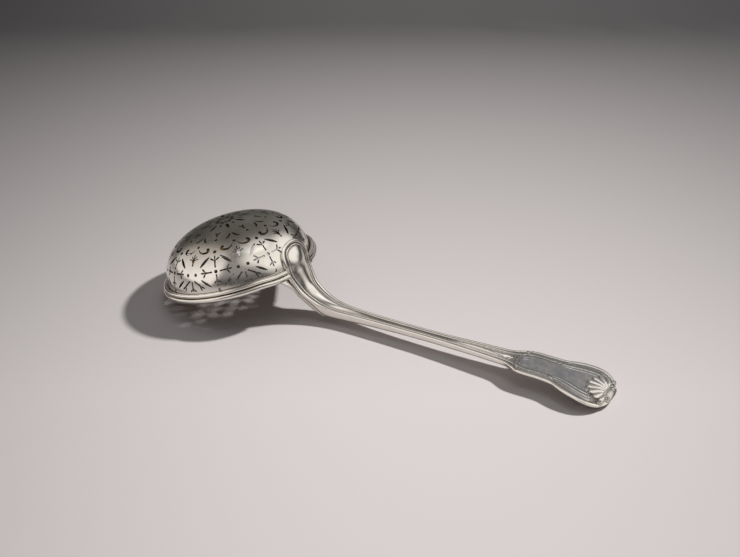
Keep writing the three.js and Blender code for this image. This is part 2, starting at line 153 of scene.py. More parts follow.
# %% Materials
SCRATCH_STRETCH = (0.03, 1.0, 1.0)


class Weaver:
    """Adds nodes to a tree. A node given as a value for an input stands for its first output."""

    def __init__(self, tree):
        self.tree = tree

    def feed(self, node, values):
        for key, value in values.items():
            value = value.outputs[0] if isinstance(value, bpy.types.Node) else value
            if isinstance(value, bpy.types.NodeSocket):
                self.tree.links.new(value, node.inputs[key])
            else:
                node.inputs[key].default_value = value
        return node

    def add(self, kind, values=None, **settings):
        node = self.tree.nodes.new(kind)
        for key, value in settings.items():
            setattr(node, key, value)
        return self.feed(node, values or {})

    def maths(self, operation, first, second=0.0, third=0.0):
        return self.add("ShaderNodeMath", {0: first, 1: second, 2: third}, operation=operation).outputs[0]

    def vector(self, operation, first, second):
        node = self.add("ShaderNodeVectorMath", {0: first, 1: second}, operation=operation)
        return node.outputs["Value" if operation == "DOT_PRODUCT" else "Vector"]

    def ramp(self, source, low, high, to_low, to_high):
        """A number carried from one range over to another and held at its ends."""
        ends = {"From Min": low, "From Max": high, "To Min": to_low, "To Max": to_high}
        return self.add("ShaderNodeMapRange", {"Value": source, **ends}).outputs["Result"]

    def mix(self, factor, first, second):
        """A colour between two colours, which are the node's inputs 6 and 7."""
        return self.add("ShaderNodeMix", {0: factor, 6: first, 7: second}, data_type="RGBA").outputs[2]

    def noise(self, scale, detail, turn=None):
        """Noise in object coordinates, drawn out into fine streaks where a turn is given."""
        place = self.add("ShaderNodeTexCoord").outputs["Object"]
        if turn is not None:
            streaks = {"Vector": place, "Rotation": (0.0, 0.0, turn), "Scale": SCRATCH_STRETCH}
            place = self.add("ShaderNodeMapping", streaks)
        grain = {"Vector": place, "Scale": scale, "Detail": detail}
        return self.add("ShaderNodeTexNoise", grain).outputs["Fac"]


def new_material(name):
    material = bpy.data.materials.new(name)
    material.use_nodes = True
    return material, Weaver(material.node_tree), material.node_tree.nodes["Principled BSDF"]


CLOUD_SCALE, SCUFF_SCALE, SPOT_SCALE = 130, 420, 900
SCRATCHES = ((2600, 0.35), (2200, -0.9))
SCRATCH_DEPTH = 0.000003
TARNISH_ROUGHNESS, DULL_ROUGHNESS = 0.16, 0.14
DULL_GREY = (0.50, 0.51, 0.55, 1.0)


def old_silver(name, colour, tarnish_colour, roughness, scratch=0.5, cloud=0.25):
    """Worn silver: fine scratches two ways, cloudy polish, tarnish and dull grey where attributes say."""
    material, weave, shader = new_material(name)
    tarnish, dull = (weave.add("ShaderNodeAttribute", attribute_name=label).outputs["Fac"]
                     for label in ("tarnish", "dull"))
    clouds = weave.maths("MULTIPLY_ADD", weave.noise(CLOUD_SCALE, 5.0), cloud, -cloud * 0.5)
    worn = weave.maths("ADD", tarnish, clouds)
    worn.node.use_clamp = True
    blotch = weave.ramp(weave.noise(SCUFF_SCALE, 4.0), 0.35, 0.62, 0.45, 1.0)
    grey = weave.mix(weave.maths("MULTIPLY", dull, blotch), colour, DULL_GREY)
    polish = weave.ramp(weave.noise(SPOT_SCALE, 3.0), 0.3, 0.7, roughness - 0.03, roughness + 0.05)
    rough = weave.maths("ADD", polish, weave.maths("MULTIPLY", worn, TARNISH_ROUGHNESS))
    one_way, other_way = (weave.noise(scale, 2.0, turn) for scale, turn in SCRATCHES)
    relief = weave.add("ShaderNodeBump", {
        "Height": weave.maths("ADD", one_way, other_way), "Strength": scratch, "Distance": SCRATCH_DEPTH})
    weave.feed(shader, {
        "Metallic": 1.0, "Base Color": weave.mix(worn, grey, tarnish_colour),
        "Roughness": weave.maths("ADD", rough, weave.maths("MULTIPLY", dull, DULL_ROUGHNESS)),
        "Normal": relief})
    return material


SILVER, GREY_SULPHIDE = (0.87, 0.83, 0.77, 1.0), (0.10, 0.088, 0.076, 1.0)
OLIVE_SULPHIDE = (0.17, 0.16, 0.12, 1.0)
# The gilt and the sawn edges have base colours darkened as painted shade inside the bowl and its holes. Their
# stains are tarnish.
SHADED_GOLD, GOLD_STAIN = (0.50, 0.33, 0.14, 1.0), (0.12, 0.08, 0.05, 1.0)
SHADED_SAWN_GREY, SAWN_STAIN = (0.24, 0.20, 0.16, 1.0), (0.05, 0.04, 0.035, 1.0)
bowl_silver = old_silver("bowl silver", SILVER, OLIVE_SULPHIDE, 0.17, cloud=0.4)
rim_silver = old_silver("rim silver", SILVER, GREY_SULPHIDE, 0.15)
handle_silver = old_silver("handle silver", SILVER, GREY_SULPHIDE, 0.16, scratch=0.25)
gilt = old_silver("gilt", SHADED_GOLD, GOLD_STAIN, 0.25)
cut_silver = old_silver("cut edge", SHADED_SAWN_GREY, SAWN_STAIN, 0.4, cloud=0.5)
print("materials:", [m.name for m in bpy.data.materials])

# %% [markdown]
# ## Table and light
# The spoon lies on one large sheet of pale paper. Its colour carries painted light: a painted pool of light
# in front, and painted shade that greys it towards the back and the sides.

# %% Table
# The pale colour is the paper's own. The dark one is painted shade, mixed in by a number per point.
PAPER_PALE, PAPER_IN_PAINTED_SHADE = (0.725, 0.672, 0.658, 1.0), (0.02, 0.02, 0.021, 1.0)
paper, weave, shader = new_material("paper")
fade = weave.add("ShaderNodeAttribute", attribute_name="fade").outputs["Fac"]
weave.feed(shader, {"Roughness": 0.9, "Specular IOR Level": 0.1,
                    "Base Color": weave.mix(fade, PAPER_IN_PAINTED_SHADE, PAPER_PALE)})

PAPER_RINGS, PAPER_SPOKES, PAPER_RADIUS, RING_CROWDING = 60, 96, 1500.0, 2.2
FADE_START, FADE_RATE, FADE_FLOOR = -90.0, 0.0021, 0.1
PAINTED_POOL_SIDE, PAINTED_POOL_WIDTH, PAINTED_POOL_FLOOR = -8.0, 300.0, 0.45
away = np.array([-math.sin(CAMERA_TURN), math.cos(CAMERA_TURN)])
side = np.array([math.cos(CAMERA_TURN), math.sin(CAMERA_TURN)])


def paper_sheet():
    """A round sheet of paper with painted light: a painted pool of light at the front, and painted shade away
    from the camera and to the sides.
    """
    radii = PAPER_RADIUS * np.linspace(0, 1, PAPER_RINGS + 1)[1:] ** RING_CROWDING
    turns = np.linspace(0, 2 * math.pi, PAPER_SPOKES, endpoint=False)
    offset = np.array([(0.0, 0.0)] + [(r * math.cos(t), r * math.sin(t)) for r in radii for t in turns])
    faces = [(0, 1 + i, 1 + (i + 1) % PAPER_SPOKES) for i in range(PAPER_SPOKES)]
    for k in range(PAPER_RINGS - 1):
        for i in range(PAPER_SPOKES):
            j = (i + 1) % PAPER_SPOKES
            first, second = 1 + k * PAPER_SPOKES, 1 + (k + 1) * PAPER_SPOKES
            faces.append((first + i, second + i, second + j, first + j))
    # Painted shade: darker away from the camera and, outside a painted pool of light, darker to the sides.
    shade = np.clip(1 - FADE_RATE * (offset @ away - FADE_START), FADE_FLOOR, 1.0)
    shade = shade * np.maximum(np.exp(-((offset @ side - PAINTED_POOL_SIDE) / PAINTED_POOL_WIDTH) ** 2), PAINTED_POOL_FLOOR)
    ground = offset + np.array(CAMERA_AIM[:2]) / MM
    return np.column_stack([ground, np.zeros(len(ground))]), faces, shade


sheet_points, sheet_faces, sheet_shade = paper_sheet()
table = make_piece("paper_sheet", sheet_points, sheet_faces, paper, fade=sheet_shade)

# %% [markdown]
# A fairly small lamp behind on the right throws the shadows to the near left, and a broad weak one hangs
# overhead. Metal shows what stands round it, so reflections see a room with a large white screen at the near
# left, smaller ones at the right, round the main lamp and high up, and a grey wall behind. The bare lamp
# itself stays out of the reflections, as it does behind a diffuser.

# %% Lamps and room
def lamp(name, direction, distance, size, watts):
    """A round lamp, sizes in metres, that stands in a direction from the aim and shines at it."""
    data = bpy.data.lights.new(name, "AREA")
    data.shape = "DISK"
    data.size = size
    data.energy = watts
    thing = show(name, data)
    towards_lamp = Vector(direction).normalized()
    thing.location = towards_lamp * distance + CAMERA_AIM
    thing.rotation_euler = towards_lamp.to_track_quat("Z", "Y").to_euler()
    return thing


main_lamp = lamp("main lamp", direction=(0.56, 0.85, 1.0), distance=1.6, size=0.12, watts=28.6)
main_lamp.visible_glossy = False
top_lamp = lamp("overhead lamp", direction=(0.05, 0.15, 1.0), distance=1.2, size=0.8, watts=1.2)
world = bpy.data.worlds.new("room")
world.use_nodes = True
sky = Weaver(world.node_tree)
heading = sky.add("ShaderNodeTexCoord").outputs["Generated"]
height = sky.add("ShaderNodeSeparateXYZ", {"Vector": heading}).outputs["Z"]
ROOM_TONES = ((0.0, 0.05), (0.16, 0.09), (0.45, 0.27), (0.75, 0.27), (1.0, 0.22))
ROOM_TINT = (1.0, 0.98, 0.95)
room = sky.add("ShaderNodeValToRGB", {"Fac": height})
for place, value in ROOM_TONES[1:-1]:
    room.color_ramp.elements.new(place)
for element, (place, value) in zip(room.color_ramp.elements, ROOM_TONES):
    element.position = place
    element.color = (*(value * tint for tint in ROOM_TINT), 1.0)


def screen(below, turn, rise, spread, edge, colour):
    """A round screen with a soft edge, at a turn from +X and a rise over the table, all in degrees."""
    turn, rise = math.radians(turn), math.radians(rise)
    middle = (math.cos(rise) * math.cos(turn), math.cos(rise) * math.sin(turn), math.sin(rise))
    rim, core = math.cos(math.radians(spread + edge)), math.cos(math.radians(spread))
    return sky.mix(sky.ramp(sky.vector("DOT_PRODUCT", heading, middle), rim, core, 0.0, 1.0), below, colour)


SCREENS = [(-145, 18, 47, 4, (1.0, 0.94, 0.91, 1.0)), (120, 26, 10, 20, (0.33, 0.32, 0.31, 1.0)),
           (14, 36, 20, 16, (1.0, 0.97, 0.93, 1.0)), (54, 38, 14, 14, (1.0, 0.98, 0.95, 1.0)),
           (-12, 60, 14, 16, (0.92, 0.89, 0.84, 1.0))]
shown = room.outputs["Color"]
for place_and_tone in SCREENS:
    shown = screen(shown, *place_and_tone)
ROOM_FILL = (0.17, 0.17, 0.175, 1.0)
mirrored = sky.add("ShaderNodeLightPath").outputs["Is Glossy Ray"]
sky.feed(world.node_tree.nodes["Background"], {"Color": sky.mix(mirrored, ROOM_FILL, shown)})
bpy.context.scene.world = world
print("lamps:", main_lamp.name, "and", top_lamp.name)

# %% [markdown]
# ## Bowl
# The bowl is a dome raised from sheet about 1 mm thick. Its outline is fuller than a sphere's: it rises
# steeply from the mouth and is flat on the crown. The maker drew the pattern in eight repeats, drilled it
# and sawed it out. The same is done here with Geometry Nodes: the section is turned into a dome, the blades
# of three motifs are set round it on a ring of points, and one boolean cuts them all.

# %% Dome section
DOME_STEPS = 2000


def dome_point(angle, inset=0.0):
    """Radius and height of the dome's outline, or of its inner wall where an inset is given."""
    power = 2 / BOWL_FULLNESS
    return ((WALL_RADIUS - inset) * np.clip(np.cos(angle), 0, 1) ** power,
            MOUTH_BAND + (BOWL_DEPTH - inset) * np.clip(np.sin(angle), 0, 1) ** power)


dome_radius, dome_height = dome_point(np.linspace(math.pi / 2, 0, DOME_STEPS))
dome_arc = run_length(np.stack([dome_radius, dome_height], axis=1))


def on_dome(arc, turn, lift):
    """A point over the dome's outside: arc down from the crown, turn round it, lift along the normal."""
    arc = np.asarray(arc, float)
    r, z = np.interp(arc, dome_arc, dome_radius), np.interp(arc, dome_arc, dome_height)
    near = np.maximum(arc, 0.3)
    slope_r, slope_z = (np.interp(near + 0.2, dome_arc, row) - np.interp(near - 0.2, dome_arc, row)
                        for row in (dome_radius, dome_height))
    size = np.hypot(slope_r, slope_z)
    r = r - slope_z / size * lift
    z = z + slope_r / size * lift
    return np.stack([r * np.cos(turn), r * np.sin(turn), z], axis=-1)


def section_rows(inset, count):
    """Evenly spaced points of the section, from the crown to the mouth."""
    r, z = dome_point(np.linspace(math.pi / 2, 0, DOME_STEPS), inset)
    arc = run_length(np.stack([r, z], axis=1))
    stops = np.linspace(0, arc[-1], count)
    return list(zip(np.interp(stops, arc, r), np.interp(stops, arc, z)))


section = section_rows(0, 62) + [(WALL_RADIUS, 0.3), (WALL_RADIUS - 0.25, 0.0), (WALL_RADIUS - 0.75, 0.0),
                                 (WALL_RADIUS - WALL, 0.3)] + section_rows(WALL, 50)[::-1]
section = np.array([(r, 0.0, z) for r, z in section])
print("dome section:", len(section), "points, arc", round(float(dome_arc[-1]), 2), "mm")

# %% [markdown]
# Each motif is a list of flat outlines: x runs round the bowl, y towards the crown, from the motif's middle.
# A sprig is a stem that forks into pointed leaves, a comma is a scroll with a round head, and the holes are
# drilled. Bending the outlines over the dome gives the saw's blades.

# %% Blades
REPEATS, HOLE_SIDES = 8, 18
CORE_ARC = 33.3


def hole(x, y, width):
    angles = np.linspace(0, 2 * math.pi, HOLE_SIDES, endpoint=False)
    return np.stack([x + width / 2 * np.cos(angles), y + width / 2 * np.sin(angles)], axis=1)


def stroke(path, widths):
    """The outline of a line with a changing width and a round head."""
    path, half = np.asarray(path, float), np.asarray(widths, float) / 2
    way = np.gradient(path, axis=0)
    way /= np.linalg.norm(way, axis=1)[:, None]
    out = np.stack([way[:, 1], -way[:, 0]], axis=1)
    head = []
    if half[0] > 0.15:
        start = math.atan2(out[0, 1], out[0, 0])
        for turn in np.linspace(0, math.pi, 8)[1:-1]:
            angle = start - math.pi + turn
            head.append(path[0] + half[0] * np.array([math.cos(angle), math.sin(angle)]))
    side = out * half[:, None]
    return np.array([*(path + side), *(path - side)[::-1], *head])


def leaf(x0, y0, x1, y1, width, bow=0.0):
    """A pointed cut from one place to another, bowed to a side where a bow is given."""
    t = np.linspace(0, 1, 9)
    way = np.array([x1 - x0, y1 - y0])
    across = np.array([-way[1], way[0]]) / np.hypot(*way)
    path = np.array([x0, y0]) + t[:, None] * way + np.sin(math.pi * t)[:, None] * across * bow
    return stroke(path, 0.04 + width * np.sin(math.pi * np.clip(t, 0.02, 0.98)) ** 0.6)


def sprig(x, y, heading, stem, leaves, stem_width=0.76, palm=0.42):
    """A stem from (x, y) that forks into leaves given as (length, angle off the stem in degrees, spread)."""
    angles = np.radians(np.arange(-100, 101, 4.0))
    reach = np.full(angles.shape, palm)
    for length, lean, spread in leaves:
        share = np.clip(np.abs(angles - math.radians(lean)) / math.radians(spread), 0, 1)
        reach = np.maximum(reach, length * (1 - share ** 1.7))
    fork = np.stack([stem + reach * np.cos(angles), reach * np.sin(angles)], axis=1)
    half = stem_width / 2
    foot = [(stem * 0.5, half * 0.8), (0.1, half), (-0.1, 0.0), (0.1, -half), (stem * 0.5, -half * 0.8)]
    outline = np.vstack([fork, foot])
    cos, sin = math.cos(math.radians(heading)), math.sin(math.radians(heading))
    return np.stack([x + outline[:, 0] * cos - outline[:, 1] * sin,
                     y + outline[:, 0] * sin + outline[:, 1] * cos], axis=1)


COMMA_PATH = [(3.1, 10.75), (2.9, 9.95), (3.6, 9.3), (5.0, 9.02), (6.25, 9.35), (7.05, 10.2), (7.4, 11.3)]
COMMA_WIDTHS = [1.5, 1.2, 1.15, 1.0, 0.8, 0.5, 0.08]


def comma(hand):
    """A scroll beside the upper dot: a round head, a dip and a rising tail."""
    path = spline(COMMA_PATH, 3)
    widths = np.interp(np.linspace(0, 1, len(path)), np.linspace(0, 1, len(COMMA_WIDTHS)), COMMA_WIDTHS)
    outline = stroke(path, widths)
    return outline if hand > 0 else (outline * [-1, 1])[::-1]


rosette_foot = [hole(-2.05, 0, 1.4), hole(2.05, 0, 1.4),
                sprig(0, -2.8, -90, 2.7, [(1.6, 0, 24), (2.1, 48, 26), (2.1, -48, 26)])]
rosette_rest = [sprig(0, 3.7, 90, 2.4, [(3.1, 0, 15), (2.5, 33, 16), (2.5, -33, 16), (2.6, 73, 15),
                                        (2.6, -73, 15)], palm=0.85)]
for hand in (-1, 1):
    rosette_foot.append(leaf(hand * 4.6, -2.2, hand * 9.0, -5.5, 1.0))
    rosette_foot.append(sprig(hand * 1.2, -2.4, -90 + hand * 52, 3.0,
                              [(2.9, hand * 3, 20), (2.6, -hand * 31, 22)], stem_width=0.75))
    rosette_rest.append(leaf(hand * 4.0, 2.8, hand * 7.5, 7.0, 1.35))
    rosette_rest.append(leaf(hand * 3.0, 14.6, hand * 0.5, 18.0, 0.8, bow=0.45 * hand))
    rosette_rest.append(leaf(hand * 1.6, CORE_ARC - 4.6, hand * 0.7, CORE_ARC - 2.6, 0.5))
rosette_rest += [hole(0, 12.4, 1.3), leaf(0, CORE_ARC - 10.8, 0, CORE_ARC - 5.8, 1.3)]

CROSS_RISE = 0.35
side_leaves = [(2.4, 0, 26), (2.35, 53, 28), (2.35, -53, 28)]
cross = [hole(0, CROSS_RISE, 1.5), hole(0, -7.0, 1.3), hole(0, 9.0, 1.55), hole(0, 15.5, 1.15),
         sprig(0, 2.0, 90, 2.9, [(2.5, 0, 22), (2.45, 57, 26), (2.45, -57, 26)]),
         sprig(0, -0.8, -90, 2.3, [(2.2, 0, 26), (1.95, 55, 30), (1.95, -55, 30)]),
         sprig(0, 17.4, 90, 1.4, [(2.0, 32, 28), (2.0, -32, 28)]),
         leaf(0, CORE_ARC - 8.2, 0, CORE_ARC - 5.8, 0.8)]
for hand in (-1, 1):
    cross.append(sprig(hand * 1.7, CROSS_RISE, 0 if hand > 0 else 180, 2.8, side_leaves))
    cross.append(comma(hand))

seed = [leaf(0, CORE_ARC - 3.9, 0, CORE_ARC - 2.1, 0.8)]


def tube_faces(count, size):
    """The faces that join rings of points into a closed tube with flat ends."""
    faces = [tuple(range(size)), tuple(reversed(range((count - 1) * size, count * size)))]
    for i in range(count - 1):
        for j in range(size):
            k = (j + 1) % size
            faces.append((i * size + j, (i + 1) * size + j, (i + 1) * size + k, i * size + k))
    return faces


ABOVE_WALL, BELOW_WALL = 1.2, -2.2


def blades(outlines):
    """Closed prisms that stand through the dome's wall on the given outlines."""
    points, faces = [], []
    for outline in outlines:
        area = np.sum(outline[:, 0] * np.roll(outline[:, 1], -1) - np.roll(outline[:, 0], -1) * outline[:, 1])
        if area < 0:
            outline = outline[::-1]
        arc = CORE_ARC - outline[:, 1]
        turn = outline[:, 0] / np.interp(arc, dome_arc, dome_radius)
        faces += [tuple(len(points) + i for i in face) for face in tube_faces(2, len(outline))]
        points += [*on_dome(arc, turn, ABOVE_WALL), *on_dome(arc, turn, BELOW_WALL)]
    return np.array(points), faces


def hidden_object(name, points, faces=(), edges=()):
    mesh = bpy.data.meshes.new(name)
    mesh.from_pydata(points.tolist(), edges, faces)
    return bpy.data.objects.new(name, mesh)


foot_blades = hidden_object("foot blades", *blades(rosette_foot))
rest_blades = hidden_object("rosette blades", *blades(rosette_rest + seed))
cross_blades = hidden_object("cross blades", *blades(cross))
print("blades:", [len(o.data.polygons) for o in (foot_blades, rest_blades, cross_blades)], "faces")


# %% [markdown]
# Geometry Nodes repeats a shape or runs a section along a path by rule. These helpers start a tree and turn
# its result into a plain mesh, so that what is left is an ordinary piece.

# %% Trees and what they make
def new_tree(name, inputs):
    """An empty Geometry Nodes tree with a geometry in and out and the named inputs."""
    tree = bpy.data.node_groups.new(name, "GeometryNodeTree")
    tree.interface.new_socket("Geometry", in_out="INPUT", socket_type="NodeSocketGeometry")
    tree.interface.new_socket("Geometry", in_out="OUTPUT", socket_type="NodeSocketGeometry")
    for label, kind in inputs:
        tree.interface.new_socket(label, in_out="INPUT", socket_type="NodeSocket" + kind)
    return Weaver(tree), tree.nodes.new("NodeGroupInput"), tree.nodes.new("NodeGroupOutput")


def chain(count, closed=False):
    """The edges that join points in their order."""
    return [(i, (i + 1) % count) for i in range(count if closed else count - 1)]


def solve(name, source, tree, values):
    """The tree's result on the source object, as a plain mesh piece without modifiers."""
    bpy.context.scene.collection.objects.link(source)
    modifier = source.modifiers.new(name, "NODES")
    modifier.node_group = tree
    for item in tree.interface.items_tree:
        if item.item_type == "SOCKET" and item.in_out == "INPUT" and item.name in values:
            modifier[item.identifier] = values[item.name]
    bpy.context.view_layer.update()
    mesh = bpy.data.meshes.new_from_object(source.evaluated_get(bpy.context.evaluated_depsgraph_get()))
    mesh.name = name
    bpy.data.objects.remove(source)
    print(f"{name}: {len(mesh.vertices)} points, {len(mesh.polygons)} faces")
    return show(name, mesh)


# %% [markdown]
# The tree reads a point of the section for each row of a flat grid and turns it round the axis, so that the
# grid closes into a dome with a wall. What faces outwards is silver and what faces inwards is gilt. The gilt
# and the sawn edges between are darkened as painted shade inside the bowl and its holes, and carry tarnish
# too.

# %% Pierced bowl
DOME_SEGMENTS, FACING = 180, 0.45
weave, dome_in, dome_out = new_tree("pierced dome", [
    ("Segments", "Int"), ("Rows", "Int"), ("Repeats", "Int"), ("Foot Blades", "Object"),
    ("Rest Blades", "Object"), ("Cross Blades", "Object"), ("Outside", "Material"), ("Inside", "Material"),
    ("Edges", "Material")])
segments, rows = dome_in.outputs["Segments"], dome_in.outputs["Rows"]
grid = weave.add("GeometryNodeMeshGrid", {
    "Size X": 1.0, "Size Y": 1.0, "Vertices X": weave.maths("ADD", segments, 1.0), "Vertices Y": rows})
position = weave.add("GeometryNodeInputPosition")
cell = weave.add("ShaderNodeSeparateXYZ", {"Vector": position})
row = weave.maths("ROUND", weave.maths("MULTIPLY", weave.maths("ADD", cell.outputs["Y"], 0.5),
                                       weave.maths("SUBTRACT", rows, 1.0)))
taken = weave.add("GeometryNodeSampleIndex", {
    "Geometry": dome_in.outputs["Geometry"], "Value": position, "Index": row}, data_type="FLOAT_VECTOR")
round_turn = weave.maths("MULTIPLY", weave.maths("ADD", cell.outputs["X"], 0.5), 2 * math.pi)
turned = weave.add("ShaderNodeVectorRotate", {"Vector": taken, "Angle": round_turn}, rotation_type="Z_AXIS")
dome = weave.add("GeometryNodeSetPosition", {"Geometry": grid, "Position": turned})
dome = weave.add("GeometryNodeMergeByDistance", {"Geometry": dome, "Distance": 0.002})
dome = weave.add("GeometryNodeFlipFaces", {"Mesh": dome})

ring = weave.add("GeometryNodeMeshLine", {"Count": dome_in.outputs["Repeats"], "Offset": (0, 0, 0)})
index = weave.add("GeometryNodeInputIndex")
share = weave.maths("DIVIDE", 2 * math.pi, dome_in.outputs["Repeats"])
cut_sets = []
for blade_set, offset, first in (("Foot Blades", 0.0, 1), ("Rest Blades", 0.0, 0), ("Cross Blades", 0.5, 0)):
    even = weave.maths("MULTIPLY", weave.maths("ADD", index, offset), share)
    spin = weave.add("FunctionNodeAxisAngleToRotation", {"Axis": (0, 0, 1), "Angle": even})
    shape = weave.add("GeometryNodeObjectInfo", {"Object": dome_in.outputs[blade_set]})
    chosen = weave.add("FunctionNodeCompare", {"A": index, "B": first}, data_type="INT",
                       operation="GREATER_EQUAL")
    placed = weave.add("GeometryNodeInstanceOnPoints", {
        "Points": ring, "Selection": chosen, "Instance": shape.outputs["Geometry"], "Rotation": spin})
    cut_sets.append(placed)
all_cuts = weave.add("GeometryNodeJoinGeometry")
for cuts in reversed(cut_sets):
    weave.feed(all_cuts, {"Geometry": cuts})
whole = weave.add("GeometryNodeRealizeInstances", {"Geometry": all_cuts})
pierced = weave.add("GeometryNodeMeshBoolean", {"Mesh 1": dome, "Mesh 2": whole}, operation="DIFFERENCE",
                    solver="MANIFOLD")
outwards = weave.vector("NORMALIZE", weave.vector("SUBTRACT", position, (0, 0, 2.0)), (0, 0, 0))
wall_side = weave.vector("DOT_PRODUCT", weave.add("GeometryNodeInputNormal"), outwards)
sawn = weave.add("GeometryNodeRealizeInstances", {"Geometry": pierced})
body = weave.add("GeometryNodeSetMaterial", {"Geometry": sawn, "Material": dome_in.outputs["Edges"]})
for label, test, level in (("Outside", "GREATER_THAN", FACING), ("Inside", "LESS_THAN", -FACING)):
    pick = weave.add("FunctionNodeCompare", {"A": wall_side, "B": level}, data_type="FLOAT", operation=test)
    body = weave.add("GeometryNodeSetMaterial", {
        "Geometry": body, "Selection": pick, "Material": dome_in.outputs[label]})
weave.feed(dome_out, {"Geometry": body})

bowl = solve("bowl", hidden_object("dome section", section, edges=chain(len(section))), weave.tree, {
    "Segments": DOME_SEGMENTS, "Rows": len(section), "Repeats": REPEATS, "Foot Blades": foot_blades,
    "Rest Blades": rest_blades, "Cross Blades": cross_blades, "Outside": bowl_silver, "Inside": gilt,
    "Edges": cut_silver})
print("bowl materials:", [m.name if m else None for m in bowl.data.materials])

# %% [markdown]
# The boolean leaves a bare shape in the bowl's own frame. It gets its tarnish, which is heaviest on the crown
# and in the corner above the wires, and then it is tipped into place with every corner written to the mesh.

# %% Bowl's surface
def tip_into_place(piece, tarnish, crease):
    """Give a solved piece its tarnish and its place in the spoon, with edges over an angle kept sharp."""
    mark_points(piece.data, "tarnish", tarnish)
    piece.data.vertices.foreach_set("co", (from_bowl(points_of(piece.data)) * MM).ravel())
    piece.data.update()
    piece.data.set_sharp_from_angle(angle=math.radians(crease))


BARE_TARNISH, CROWN_TARNISH, CORNER_TARNISH = 0.02, 0.83, 0.25
bowl_height = points_of(bowl.data)[:, 2]
bowl_dark = BARE_TARNISH + CROWN_TARNISH * smooth(bowl_height, 10.5, 22)
bowl_dark = bowl_dark + CORNER_TARNISH * smooth(bowl_height, 2.5, 0.6)
tip_into_place(bowl, bowl_dark, 32)
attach(bowl, "root")
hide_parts("pierced_bowl")

# %% [markdown]
# ## Rim wires
# Two wires are soldered round the outside of the mouth: a thin upper one and a fuller lower one, with a dark
# line of old polish between them. Each follows a circle, so each is one curve with a section run along it.
# Both stop against the tongue of the handle, and sag a little as they run into the strap under it.

# %% Rim wires
weave, wire_in, wire_out = new_tree("rim wire", [("Section", "Object"), ("Material", "Material")])
wire_tree = weave.tree
path = weave.add("GeometryNodeMeshToCurve", {"Mesh": wire_in.outputs["Geometry"]})
path = weave.add("GeometryNodeSetCurveNormal", {"Curve": path}, mode="Z_UP")
outline = weave.add("GeometryNodeMeshToCurve", {"Mesh": weave.add(
    "GeometryNodeObjectInfo", {"Object": wire_in.outputs["Section"]}).outputs["Geometry"]})
drawn = weave.add("GeometryNodeCurveToMesh", {"Curve": path, "Profile Curve": outline, "Fill Caps": True})
whole = weave.add("GeometryNodeRealizeInstances", {"Geometry": drawn})
coated = weave.add("GeometryNodeSetMaterial", {"Geometry": whole, "Material": wire_in.outputs["Material"]})
weave.feed(wire_out, {"Geometry": coated})

WIRE_SAG = 1.0
WIRE_STEPS, WIRE_SIDES = 240, 20
OPEN_WIRE_TARNISH, CORNER_WIRE_TARNISH = 0.05, 0.9


def rim_wire(name, centre, half_width, half_height, level, ends, flat_foot=1.0):
    """A wire round the mouth with an oval section, open at the handle by two angles, far and near."""
    turns = np.radians(np.linspace(ends[0], 360 - ends[1], WIRE_STEPS))
    sag = WIRE_SAG * smooth(np.cos(turns), math.cos(math.radians(40)), math.cos(math.radians(16)))
    spine = np.stack([centre * np.cos(turns), centre * np.sin(turns), level - sag], axis=1)
    angles = np.linspace(0, 2 * math.pi, WIRE_SIDES, endpoint=False)
    out, rise = np.cos(angles), np.sin(angles)
    oval = np.stack([half_width * np.sign(out) * np.abs(out) ** 0.8,
                     half_height * np.sign(rise) * np.abs(rise) ** np.where(rise < 0, flat_foot, 1.0),
                     np.zeros(WIRE_SIDES)], axis=1)
    shape = hidden_object(name + " section", oval, edges=chain(WIRE_SIDES, closed=True))
    source = hidden_object(name + " path", spine, edges=chain(WIRE_STEPS))
    wire = solve(name, source, wire_tree, {"Section": shape, "Material": rim_silver})
    radius = np.hypot(*points_of(wire.data)[:, :2].T)
    inner = smooth(centre - radius, -0.2, half_width * 0.9)
    tip_into_place(wire, OPEN_WIRE_TARNISH + CORNER_WIRE_TARNISH * inner, 50)
    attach(wire, "root")
    return wire


upper_wire = rim_wire("upper_rim_wire", centre=32.2, half_width=1.0, half_height=0.72, level=3.2,
                      ends=(13.5, 16))
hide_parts("rim_bead_upper")
lower_wire = rim_wire("lower_rim_wire", centre=32.45, half_width=1.3, half_height=1.08, level=1.1,
                      ends=(12.5, 15), flat_foot=0.45)
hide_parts("rim_bead_lower")

# %% [markdown]
# ## Handle
# The handle is one forging. Its oval tongue lies on the bowl, the root drops steeply to the table, the square
# stem runs level and the spatulate end rises, carries a shell and turns down at the tip. Two threads run
# along its edges and widen into a moulded border. The whole top face is one height field over the outline:
# the height depends on the distance to the edge, so the mouldings mitre by themselves at every shoulder.

# %% Handle line and outline
LINE_MARKS = [(33.9, 13.4), (36.2, 10.7), (39.2, 8.8), (43.0, 7.2), (48.0, 6.15), (56.0, 5.85), (75.0, 6.0),
              (95.0, 6.3), (112.0, 6.6), (126.0, 6.7), (140.0, 6.75), (150.0, 6.2), (158.0, 5.1),
              (163.5, 3.4), (167.7, 1.35)]
OUTLINE_MARKS = [(24.9, 0.0), (25.3, 3.6), (26.3, 6.2), (27.8, 7.8), (29.5, 8.3), (31.2, 8.1), (33.4, 7.0),
                 (36.5, 6.1), (41.0, 5.3), (47.0, 4.4), (56.0, 3.4), (70.0, 2.95), (88.0, 2.8), (100.0, 3.1),
                 (112.0, 3.8), (121.0, 4.4), (125.0, 4.9), (127.5, 6.0), (130.5, 7.5), (134.0, 8.2),
                 (141.0, 8.25), (145.5, 8.6), (148.5, 9.7), (152.5, 11.1), (158.0, 12.0), (162.0, 11.5),
                 (165.0, 9.4), (166.8, 6.2), (167.5, 3.0), (167.7, 0.0)]


def in_spoon(radius, height):
    return from_bowl([(radius, 0.0, height)])[0][[0, 2]]


